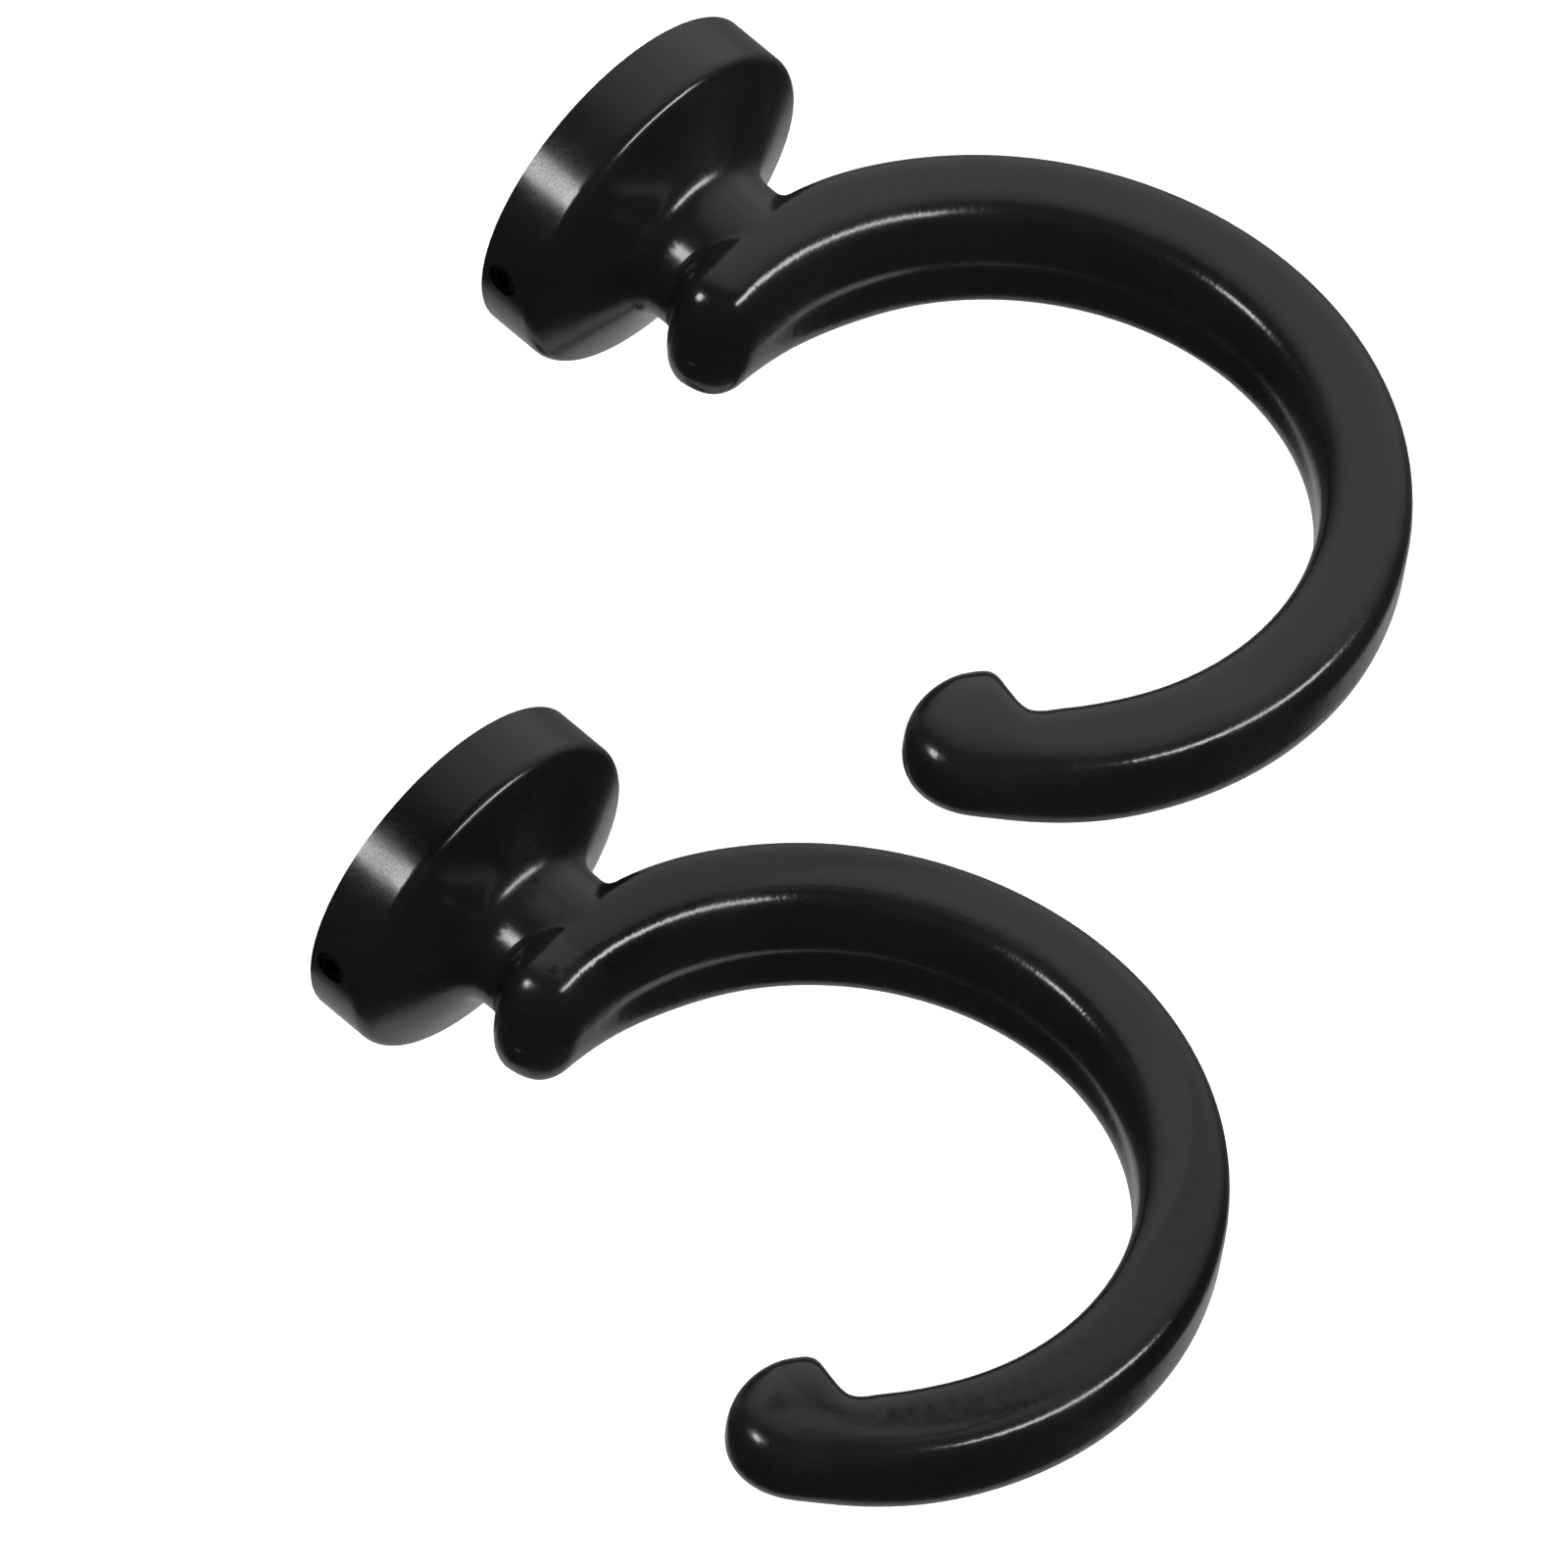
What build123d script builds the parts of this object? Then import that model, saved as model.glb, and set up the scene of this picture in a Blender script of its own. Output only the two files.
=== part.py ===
from build123d import *

import math
import os

# Two identical die-cast hooks for tying a curtain back, one above the other on
# a wall. Each hook is one casting: a round cup-shaped base, a waisted neck and
# an open C-shaped arm. The cup slips over a round boss that is screwed to the
# wall, and a grub screw in its rim locks it there.
#
# Frame, in mm: the wall is the plane Y = 0 and the hooks stand out along -Y.
# +Z is up. The origin is the centre of the upper hook's base, on the wall.

# ---------- overall sizes ----------
projection = 80.0  # wall to the front of the arm
arm_start = 13.5  # wall to the back of the arm
arm_thickness = 7.9  # of the arm in the plane of its arc
band_width = 15.7  # of the arm beside the neck, along Z
base_diameter = 32.0
rim_height = 6.2  # the base's side, with its round edge

# ---------- the pair ----------
pair_drop = 87.4  # the lower hook's distance below the upper one
pair_shift = -6.3  # and its distance to the side

# ---------- arm ----------
oval = 0.016  # the arc is this much longer one way and shorter the other
oval_turn = -27.0  # direction of its longer way, counted from +X
toe_angle = 101.0  # short end beside the neck, counted from +X towards the wall
knob_angle = -141.3  # middle of the rounded end
approach_angle = -112.0  # from here the sections lie closer together
throat_angle = -132.4  # where the arm begins to swell into the knob
throat_length = 9.0  # degrees over which it swells
knob_growth = 4.8  # thicker than the arm
knob_thickness = arm_thickness + knob_growth
knob_width = 8.9
width_power = 1.8  # 1 narrows the band evenly, more narrows it sooner
toe_width = 0.89  # share of the band's width left at the end of the toe
toe_taper = 32.0  # degrees over which the band narrows towards the toe
inward_swell = 0.42  # share of the knob's growth that shifts it inwards
end_reaches = [0.997, 0.96, 0.88, 0.75, 0.5, 0.25, 0.0]  # sections of a rounded end
section_power = 4.0  # 2 is an ellipse, more is squarer
end_power = 2.7  # and at both ends, which are rounder
end_blend = 26.0  # degrees over which the section turns rounder

# ---------- neck ----------
neck_radius = 0.46 * band_width  # a little narrower than the arm in front of it
waist_gap = 1.4  # from the neck's waist to the arm
edge_radius = 1.2  # round front edge of the base
flare_angle = 24.0  # the base's cone, from the wall's plane
flare_share = 0.68  # how far the cone runs in before it turns into the neck
neck_fillet = 1.6  # where the neck runs into the arm

# ---------- wall boss and its fit in the cup ----------
wall_gap = 0.3  # keeps the cup's rim off the wall
turning_clearance = 0.08
side_wall = 2.56  # of the cup
front_wall = 1.2
cup_radius = base_diameter / 2 - side_wall
cup_depth = rim_height - front_wall
boss_radius = cup_radius - turning_clearance
boss_gap = 0.3  # between the boss and the cup's floor
boss_height = cup_depth - boss_gap
boss_chamfer = 0.4
screw_hole_radius = 2.0
screw_head_radius = 3.9
screw_spacing = 15.0
countersink_angle = 90.0

# ---------- grub screw, an M3 with a hexagon socket ----------
grub_radius = 1.5
thread_clearance = 0.02
grub_y = -(wall_gap + boss_height) / 2
grub_chamfer = 0.6
socket_across_flats = 1.5
socket_depth = 1.2
groove_depth = 0.6  # the grub screw's tip sits in a groove round the boss
groove_width = 2 * grub_radius + 0.1
tip_gap = 0.05
grub_recess = 0.2  # its outer end lies this far below the rim's surface
grub_length = side_wall + turning_clearance + groove_depth - tip_gap - grub_recess


def stretch(angle):
    """How much longer than its mean the arc's radius is at this angle."""
    return 1 + oval * math.cos(math.radians(2 * (angle - oval_turn)))


ring_radius = (projection - arm_start - arm_thickness) / 2 / stretch(90)
ring_centre = (projection + arm_start) / 2  # distance of the arc's centre from the wall
root_y = -(arm_start + arm_thickness / 2)  # the arm's centre line on the base's axis
neck_y = waist_gap - arm_start
# degrees that the rounded ends take up
toe_end = math.degrees(arm_thickness / 2 / (ring_radius * stretch(toe_angle)))
knob_arc = ring_radius * stretch(knob_angle) - inward_swell * knob_growth
knob_end = math.degrees(knob_thickness / 2 / knob_arc)


def spot(angle, radius):
    """A point of the arm's plane at this angle and distance from the arc's centre."""
    turn = math.radians(angle)
    return Vector(radius * math.cos(turn), -ring_centre + radius * math.sin(turn), 0)


def smooth(step):
    """Smooth step from 0 to 1."""
    step = min(max(step, 0.0), 1.0)
    return step * step * (3 - 2 * step)


def squareness(angle):
    """The section's power, which falls towards both ends."""
    near_toe = 1 - (toe_angle - angle) / end_blend
    near_knob = 1 - (angle - knob_angle) / end_blend
    return section_power - (section_power - end_power) * smooth(max(near_toe, near_knob))


def station(angle):
    """Plane across the arm at this angle, with the section's thickness and width there."""
    left = min(max((angle - knob_angle) / (toe_angle - knob_angle), 0.0), 1.0)
    width = knob_width + (band_width - knob_width) * left**width_power
    thickness = arm_thickness + knob_growth * smooth((throat_angle - angle) / throat_length)
    width *= 1 - (1 - toe_width) * max(1 - (toe_angle - angle) / toe_taper, 0.0) ** 2
    radius = ring_radius * stretch(angle) - inward_swell * (thickness - arm_thickness)
    # past the middle of either end the section shrinks so that the end is round
    reach = max((angle - toe_angle) / toe_end, (knob_angle - angle) / knob_end, 0.0)
    power = squareness(angle)
    width *= (1 - reach**power) ** (1 / power)
    thickness *= (1 - reach**2) ** 0.5
    turn = math.radians(angle)
    outward = (math.cos(turn), math.sin(turn), 0)
    forward = (math.sin(turn), -math.cos(turn), 0)
    plane = Plane(origin=spot(angle, radius), x_dir=outward, z_dir=forward)
    return plane, thickness, width


def span(start, end, count):
    """Evenly spaced angles after start, up to and including end."""
    return [start + (end - start) * i / count for i in range(1, count + 1)]


def section_outline(thickness, width, power, count=16):
    """Points round a superellipse: the arm's section."""
    points = []
    for i in range(count):
        turn = math.pi + 2 * math.pi * i / count
        c = math.cos(turn)
        s = math.sin(turn)
        x = math.copysign(abs(c) ** (2 / power), c) * thickness / 2
        y = math.copysign(abs(s) ** (2 / power), s) * width / 2
        points.append((x, y))
    return points


def is_neck_join(edge):
    """True for an edge that runs across the neck where it enters the arm."""
    box = edge.bounding_box()
    across = box.size.X > 1.9 * neck_radius
    return across and box.max.Y < neck_y and box.min.Y > root_y


# ---------- upper hook ----------
with BuildPart() as upper_hook:
    # base and neck, turned about the Y axis
    base_radius = base_diameter / 2
    front_y = -(wall_gap + rim_height)
    with BuildSketch(Plane.YZ):
        with BuildLine():
            back = Line((-wall_gap, 0), (-wall_gap, base_radius))
            side = Line(back @ 1, (front_y + edge_radius, base_radius))
            edge = JernArc(side @ 1, (-1, 0), edge_radius, 90 - flare_angle)
            inwards = ((edge @ 1).Y - neck_radius) * flare_share
            cone_end = edge @ 1 + edge % 1 * (inwards / math.cos(math.radians(flare_angle)))
            flare = Spline(edge @ 1, cone_end, (neck_y, neck_radius), tangents=[edge % 1, (-1, 0)])
            neck = Line(flare @ 1, (root_y, neck_radius))
            Polyline(neck @ 1, (root_y, 0), back @ 0)
        make_face()
    revolve(axis=Axis.Y)

    # arm, lofted through sections that narrow towards the knob
    angles = [toe_angle + toe_end * reach for reach in end_reaches]
    angles += span(toe_angle, approach_angle, 16)
    angles += span(approach_angle, throat_angle, 5)
    angles += span(throat_angle, knob_angle, 6)
    angles += [knob_angle - knob_end * reach for reach in reversed(end_reaches[:-1])]
    for angle in angles:
        plane, thickness, width = station(angle)
        with BuildSketch(plane):
            with BuildLine():
                Spline(*section_outline(thickness, width, squareness(angle)), periodic=True)
            make_face()
    loft()

    # soft corner where the neck meets the arm
    join = [e for e in upper_hook.edges() if is_neck_join(e)]
    fillet(join, neck_fillet)

    # hollow of the cup, and the tapped hole for the grub screw
    with BuildSketch(Plane.XZ.offset(wall_gap)):
        Circle(cup_radius)
    extrude(amount=cup_depth, mode=Mode.SUBTRACT)
    with BuildSketch(Plane.YZ.offset(-base_diameter)):
        with Locations((grub_y, 0)):
            Circle(grub_radius + thread_clearance)
    extrude(amount=base_diameter, mode=Mode.SUBTRACT)

# ---------- upper wall boss ----------
with BuildPart() as upper_wall_boss:
    with BuildSketch(Plane.XZ):
        Circle(boss_radius)
    extrude(amount=boss_height)
    chamfer(upper_wall_boss.faces().sort_by(Axis.Y)[0].edges(), boss_chamfer)

    # groove that the grub screw's tip runs in
    with BuildSketch(Plane.XY):
        with Locations((boss_radius, grub_y)):
            Rectangle(2 * groove_depth, groove_width)
    revolve(axis=Axis.Y, mode=Mode.SUBTRACT)

    # two countersunk screw holes
    with Locations(Plane.XZ.offset(boss_height)):
        with GridLocations(screw_spacing, 0, 2, 1):
            CounterSinkHole(screw_hole_radius, screw_head_radius, boss_height, countersink_angle)

# ---------- upper grub screw ----------
with BuildPart() as upper_grub_screw:
    tip_x = -(boss_radius - groove_depth + tip_gap)
    with BuildSketch(Plane(origin=(tip_x, grub_y, 0), z_dir=(-1, 0, 0))):
        Circle(grub_radius)
    extrude(amount=grub_length)
    chamfer(upper_grub_screw.edges().sort_by(Axis.X)[-1], grub_chamfer)
    with BuildSketch(Plane(origin=(tip_x - grub_length, grub_y, 0), z_dir=(1, 0, 0))):
        RegularPolygon(socket_across_flats / math.sqrt(3), 6)
    extrude(amount=socket_depth, mode=Mode.SUBTRACT)

# ---------- the lower hook, made of the same pieces ----------
lower = Location((pair_shift, 0, -pair_drop))
with BuildPart() as lower_hook:
    add(upper_hook.part.moved(lower))
with BuildPart() as lower_wall_boss:
    add(upper_wall_boss.part.moved(lower))
with BuildPart() as lower_grub_screw:
    add(upper_grub_screw.part.moved(lower))

pieces = {
    "upper_hook": upper_hook,
    "upper_wall_boss": upper_wall_boss,
    "upper_grub_screw": upper_grub_screw,
    "lower_hook": lower_hook,
    "lower_wall_boss": lower_wall_boss,
    "lower_grub_screw": lower_grub_screw,
}
os.makedirs("parts", exist_ok=True)
for name, piece in pieces.items():
    piece.part.label = name
    export_step(piece.part, f"parts/{name}.step")
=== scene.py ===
import math

import bpy
from mathutils import Matrix, Vector


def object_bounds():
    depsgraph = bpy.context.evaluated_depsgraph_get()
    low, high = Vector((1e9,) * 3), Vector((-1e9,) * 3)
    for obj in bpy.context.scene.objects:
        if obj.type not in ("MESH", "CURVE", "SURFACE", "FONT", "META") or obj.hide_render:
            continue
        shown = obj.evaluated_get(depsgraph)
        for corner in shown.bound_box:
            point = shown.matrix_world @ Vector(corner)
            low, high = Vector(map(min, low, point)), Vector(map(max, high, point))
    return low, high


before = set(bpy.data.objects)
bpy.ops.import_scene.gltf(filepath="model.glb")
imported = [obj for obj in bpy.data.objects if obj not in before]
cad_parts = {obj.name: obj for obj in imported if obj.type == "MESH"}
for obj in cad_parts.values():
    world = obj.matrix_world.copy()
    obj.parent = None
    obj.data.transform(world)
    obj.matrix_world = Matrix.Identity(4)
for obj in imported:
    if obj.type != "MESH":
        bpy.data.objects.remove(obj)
cadLow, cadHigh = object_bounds()
centre = (cadLow + cadHigh) / 2
mm = 0.001  # one millimetre in metres
hookNodes = ["upper_hook", "lower_hook"]
bossNodes = ["upper_wall_boss", "lower_wall_boss"]
screwNodes = ["upper_grub_screw", "lower_grub_screw"]


def srgb(code):
    # a channel is value / 12.92 near black and ((value + 0.055) / 1.055) to the power 2.4 above it
    channels = [int(code[i:i + 2], 16) / 255 for i in (1, 3, 5)]
    linear = [c / 12.92 if c <= 0.04045 else ((c + 0.055) / 1.055) ** 2.4 for c in channels]
    return (*linear, 1.0)


def addNode(tree, kind, settings=None, **sockets):
    # one node; settings are its own properties, sockets its inputs by name, or by number as in s0
    made = tree.nodes.new(kind)
    for name, value in (settings or {}).items():
        setattr(made, name, value)
    for name, value in sockets.items():
        key = int(name[1:]) if name[1:].isdigit() else name.replace("_", " ")
        if isinstance(value, bpy.types.NodeSocket):
            tree.links.new(value, made.inputs[key])
        else:
            made.inputs[key].default_value = value
    return made


def newMaterial(name):
    made = bpy.data.materials.new(name)
    made.use_nodes = True
    made.node_tree.nodes.clear()
    return made, made.node_tree


def coat(names, material):
    # gives the CAD nodes of these names one material
    for name in names:
        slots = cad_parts[name].data.materials
        slots.clear()
        slots.append(material)


# the hooks' paint
blackPaint = {
    "deepBlack": "#0B0B0C",
    "worn": "#161617",
    "ior": 1.5,  # of the enamel
    "roughness": 0.22,
    "roughnessSpread": 0.07,
    "glossFrom": 0.15,  # strength of patches times grain where the paint is glossiest
    "glossTo": 0.4,  # and where it is dullest
    "patchSize": 11.0,  # mm, slow changes in gloss and colour
    "patchDetail": 4.0,
    "peelSize": 1.6,  # mm, soft ripple that sprayed paint dries with
    "peelDetail": 1.0,
    "peelDepth": 0.010,  # mm
    "grainSize": 0.17,  # mm, fine grit in the gloss
    "grainDetail": 2.0,
    "grainDepth": 0.0013,  # mm
    "roughening": 0.6,  # how strong each finer layer of patches and grain is
    "dustSize": 1.1,  # mm between specks of dust under the paint
    "dustWidth": 0.075,  # share of that distance that a speck takes up
    "dustDepth": 0.03,  # mm
    "cleanShare": 0.82,  # share of the places for a speck that stay clean
}


def paintMaterial(look):
    # gloss black enamel over a smooth casting: a near-black body, and a clear skin whose
    # ripple and grit break the lights' edges, with a few nibs of dust
    made, tree = newMaterial("black_enamel_on_zinc_casting")
    place = addNode(tree, "ShaderNodeTexCoord").outputs["Object"]
    patches = addNode(tree, "ShaderNodeTexNoise", Vector=place, Scale=1 / (look["patchSize"] * mm),
                      Detail=look["patchDetail"], Roughness=look["roughening"]).outputs[0]
    peel = addNode(tree, "ShaderNodeTexNoise", Vector=place, Scale=1 / (look["peelSize"] * mm),
                   Detail=look["peelDetail"]).outputs[0]
    grain = addNode(tree, "ShaderNodeTexNoise", Vector=place, Scale=1 / (look["grainSize"] * mm),
                    Detail=look["grainDetail"], Roughness=look["roughening"]).outputs[0]
    # specks of dust: a small dome in the middle of a few cells
    cells = addNode(tree, "ShaderNodeTexVoronoi", Vector=place, Scale=1 / (look["dustSize"] * mm))
    speck = addNode(tree, "ShaderNodeMapRange", {"interpolation_type": "SMOOTHSTEP"},
                    Value=cells.outputs["Distance"], From_Min=look["dustWidth"],
                    From_Max=0.0).outputs[0]
    draw = addNode(tree, "ShaderNodeSeparateColor", Color=cells.outputs["Color"]).outputs[0]
    chosen = addNode(tree, "ShaderNodeMath", {"operation": "GREATER_THAN"}, s0=draw,
                     s1=look["cleanShare"]).outputs[0]
    dust = addNode(tree, "ShaderNodeMath", {"operation": "MULTIPLY"}, s0=speck, s1=chosen).outputs[0]
    # colour and gloss wander together
    colour = addNode(tree, "ShaderNodeMix", {"data_type": "RGBA"}, s0=patches,
                     s6=srgb(look["deepBlack"]), s7=srgb(look["worn"])).outputs[2]
    mixed = addNode(tree, "ShaderNodeMath", {"operation": "MULTIPLY"}, s0=patches, s1=grain).outputs[0]
    gloss = addNode(tree, "ShaderNodeMapRange", Value=mixed, From_Min=look["glossFrom"],
                    From_Max=look["glossTo"], To_Min=look["roughness"] - look["roughnessSpread"],
                    To_Max=look["roughness"] + look["roughnessSpread"]).outputs[0]
    # relief: ripple, then grit, then dust
    ripple = addNode(tree, "ShaderNodeBump", Height=peel, Distance=look["peelDepth"] * mm)
    grit = addNode(tree, "ShaderNodeBump", Height=grain, Distance=look["grainDepth"] * mm,
                   Normal=ripple.outputs[0])
    nibs = addNode(tree, "ShaderNodeBump", Height=dust, Distance=look["dustDepth"] * mm,
                   Normal=grit.outputs[0])
    skin = addNode(tree, "ShaderNodeBsdfPrincipled", Base_Color=colour, Roughness=gloss,
                   IOR=look["ior"], Normal=nibs.outputs[0])
    addNode(tree, "ShaderNodeOutputMaterial", Surface=skin.outputs[0])
    return made


# the bare metals of the wall bosses and the grub screws
zincPlate = {
    "bright": "#B9BCC0",
    "dull": "#8E9297",
    "roughness": 0.34,
    "ringSize": 0.22,  # mm between the lathe's rings
    "ringDepth": 0.004,  # mm
    "bloomSize": 2.4,  # mm, the plating's cloudy patches
}
blackOxide = {
    "bright": "#2B2C2E",
    "dull": "#141415",
    "roughness": 0.42,
    "ringSize": 0.5,  # mm, the thread's pitch
    "ringDepth": 0.05,  # mm
    "bloomSize": 0.8,  # mm
}
turning = {
    "bandLength": math.pi / 10,  # length of one band of Blender's wave pattern at scale 1
    "wobble": 0.6,
    "ringDetail": 1.0,
    "bloomDetail": 5.0,
    "bloomRoughening": 0.6,
    "bloomFrom": 0.3,  # strength of the bloom where the metal is glossiest
    "bloomTo": 0.7,  # and where it is dullest
    "glossiest": 0.8,  # times the metal's own roughness
    "dullest": 1.3,
}


def turnedMetal(name, look, ringAxis):
    # metal turned on a lathe: fine rings across ringAxis that stretch its highlights,
    # and cloudy patches that dull the plating here and there
    made, tree = newMaterial(name)
    place = addNode(tree, "ShaderNodeTexCoord").outputs["Object"]
    rings = addNode(tree, "ShaderNodeTexWave", {"bands_direction": ringAxis}, Vector=place,
                    Scale=turning["bandLength"] / (look["ringSize"] * mm),
                    Distortion=turning["wobble"], Detail=turning["ringDetail"]).outputs["Fac"]
    bloom = addNode(tree, "ShaderNodeTexNoise", Vector=place, Scale=1 / (look["bloomSize"] * mm),
                    Detail=turning["bloomDetail"], Roughness=turning["bloomRoughening"]).outputs[0]
    colour = addNode(tree, "ShaderNodeMix", {"data_type": "RGBA"}, s0=bloom,
                     s6=srgb(look["bright"]), s7=srgb(look["dull"])).outputs[2]
    gloss = addNode(tree, "ShaderNodeMapRange", Value=bloom, From_Min=turning["bloomFrom"],
                    From_Max=turning["bloomTo"], To_Min=look["roughness"] * turning["glossiest"],
                    To_Max=look["roughness"] * turning["dullest"]).outputs[0]
    grooves = addNode(tree, "ShaderNodeBump", Height=rings, Distance=look["ringDepth"] * mm)
    skin = addNode(tree, "ShaderNodeBsdfPrincipled", Base_Color=colour, Roughness=gloss,
                   Metallic=1.0, Normal=grooves.outputs[0])
    addNode(tree, "ShaderNodeOutputMaterial", Surface=skin.outputs[0])
    return made


coat(hookNodes, paintMaterial(blackPaint))
coat(bossNodes, turnedMetal("zinc_plated_turned_steel", zincPlate, "Y"))
coat(screwNodes, turnedMetal("black_oxide_steel_screw", blackOxide, "X"))
print("materials done")

# what the gloss mirrors: direction, cosine where the glow starts, cosine where it is full, radiance
glows = {
    "ceiling": [(0.60, 0.35, 0.72), 0.45, 0.97, 0.55],
    "far_wall": [(0.74, 0.66, 0.10), 0.35, 0.95, 0.20],
    "table": [(0.25, 0.15, -0.95), 0.83, 0.865, 0.42],
}
room = {
    "dark": 0.022,  # radiance of the dark room on the camera's side
    "white": "#FFFFFF",
}


def glow(tree, towards, start, full, radiance):
    # full near this direction and nothing away from it, with a smooth edge
    facing = addNode(tree, "ShaderNodeTexCoord").outputs["Generated"]
    near = addNode(tree, "ShaderNodeVectorMath", {"operation": "DOT_PRODUCT"}, s0=facing,
                   s1=Vector(towards).normalized()).outputs["Value"]
    return addNode(tree, "ShaderNodeMapRange", {"interpolation_type": "SMOOTHSTEP"}, Value=near,
                   From_Min=start, From_Max=full, To_Max=radiance).outputs[0]


def buildRoom():
    # the gloss mirrors the glows in a dark room, and the camera sees a plain white backdrop
    world = bpy.data.worlds.new("studio")
    bpy.context.scene.world = world
    world.use_nodes = True
    tree = world.node_tree
    tree.nodes.clear()
    total = room["dark"]
    for setting in glows.values():
        total = addNode(tree, "ShaderNodeMath", {"operation": "ADD"}, s0=total,
                        s1=glow(tree, *setting)).outputs[0]
    mirrored = addNode(tree, "ShaderNodeBackground", Color=srgb(room["white"]), Strength=total)
    backdrop = addNode(tree, "ShaderNodeBackground", Color=srgb(room["white"]))
    seen = addNode(tree, "ShaderNodeLightPath").outputs["Is Camera Ray"]
    both = addNode(tree, "ShaderNodeMixShader", s0=seen, s1=mirrored.outputs[0],
                   s2=backdrop.outputs[0])
    addNode(tree, "ShaderNodeOutputWorld", Surface=both.outputs[0])


paleFloor = {
    "colour": "#F4F4F3",
    "drop": 4.0,  # m below the set, so that no shadow falls on it in view
    "size": 60.0,  # m
    "sun": 4.2,  # W per square metre, straight down
}


def buildFloor(look):
    # neither the floor nor its sun is mirrored: the table's glow stands in for them
    bpy.ops.mesh.primitive_plane_add(size=look["size"], location=(0, 0, cadLow.z - look["drop"]))
    floor = bpy.context.object
    floor.name = "floor"
    floor.visible_glossy = False
    material, tree = newMaterial("pale_matt_floor")
    dull = addNode(tree, "ShaderNodeBsdfDiffuse", Color=srgb(look["colour"]))
    addNode(tree, "ShaderNodeOutputMaterial", Surface=dull.outputs[0])
    floor.data.materials.append(material)
    data = bpy.data.lights.new("floor_sun", "SUN")
    data.energy = look["sun"]
    sun = bpy.data.objects.new("floor_sun", data)
    sun.visible_glossy = False
    bpy.context.scene.collection.objects.link(sun)


# where the soft lights stand: direction from the set's middle, width and height in m, radiance
softLights = {
    "side_light": [(-0.826, 0.334, 0.454), 0.26, 0.26, 16.0],
    "front_light": [(0.25, -0.80, 0.545), 0.85, 0.20, 14.0],
}
lightDistance = 1.0  # m


def softLight(name, towards, width, height, radiance):
    # a rectangular light facing the set; radiance times pi times its area is its power
    away = Vector(towards).normalized()
    data = bpy.data.lights.new(name, "AREA")
    data.shape = "RECTANGLE"
    data.size = width
    data.size_y = height
    data.energy = radiance * math.pi * width * height
    made = bpy.data.objects.new(name, data)
    bpy.context.scene.collection.objects.link(made)
    made.location = centre + away * lightDistance
    made.rotation_mode = "QUATERNION"
    made.rotation_quaternion = away.to_track_quat("Z", "Y")


buildRoom()
buildFloor(paleFloor)
for name, setting in softLights.items():
    softLight(name, *setting)
bpy.context.scene.view_settings.view_transform = "Standard"
print("studio done")

viewSetup = {
    "azimuth": -54.5,
    "elevation": 50.3,
    "roll": 10.9,
    "frameWidth": 132.6,  # mm across the picture
    "aimRight": 14.5,  # mm from the upper base's centre to the picture's middle
    "aimUp": -51.9,
    "lens": 1400.0,  # mm, long enough that both hooks are seen from the same side
    "sensor": 36.0,  # mm
}


def buildCamera(look):
    turn = math.radians(look["azimuth"])
    tilt = math.radians(look["elevation"])
    roll = math.radians(look["roll"])
    back = Vector((math.sin(turn) * math.cos(tilt), -math.cos(turn) * math.cos(tilt), math.sin(tilt)))
    level = Vector((math.cos(turn), math.sin(turn), 0))
    upright = back.cross(level)
    right = math.cos(roll) * level + math.sin(roll) * upright
    up = math.cos(roll) * upright - math.sin(roll) * level
    aim = (right * look["aimRight"] + up * look["aimUp"]) * mm
    aim += back * (centre - aim).dot(back)  # as deep as the set's middle
    data = bpy.data.cameras.new("camera")
    data.lens = look["lens"]
    data.sensor_width = look["sensor"]
    made = bpy.data.objects.new("camera", data)
    bpy.context.scene.collection.objects.link(made)
    made.matrix_world = Matrix((right, up, back)).transposed().to_4x4()
    made.location = aim + back * look["frameWidth"] * mm * look["lens"] / look["sensor"]
    bpy.context.scene.camera = made


buildCamera(viewSetup)
print("camera done")
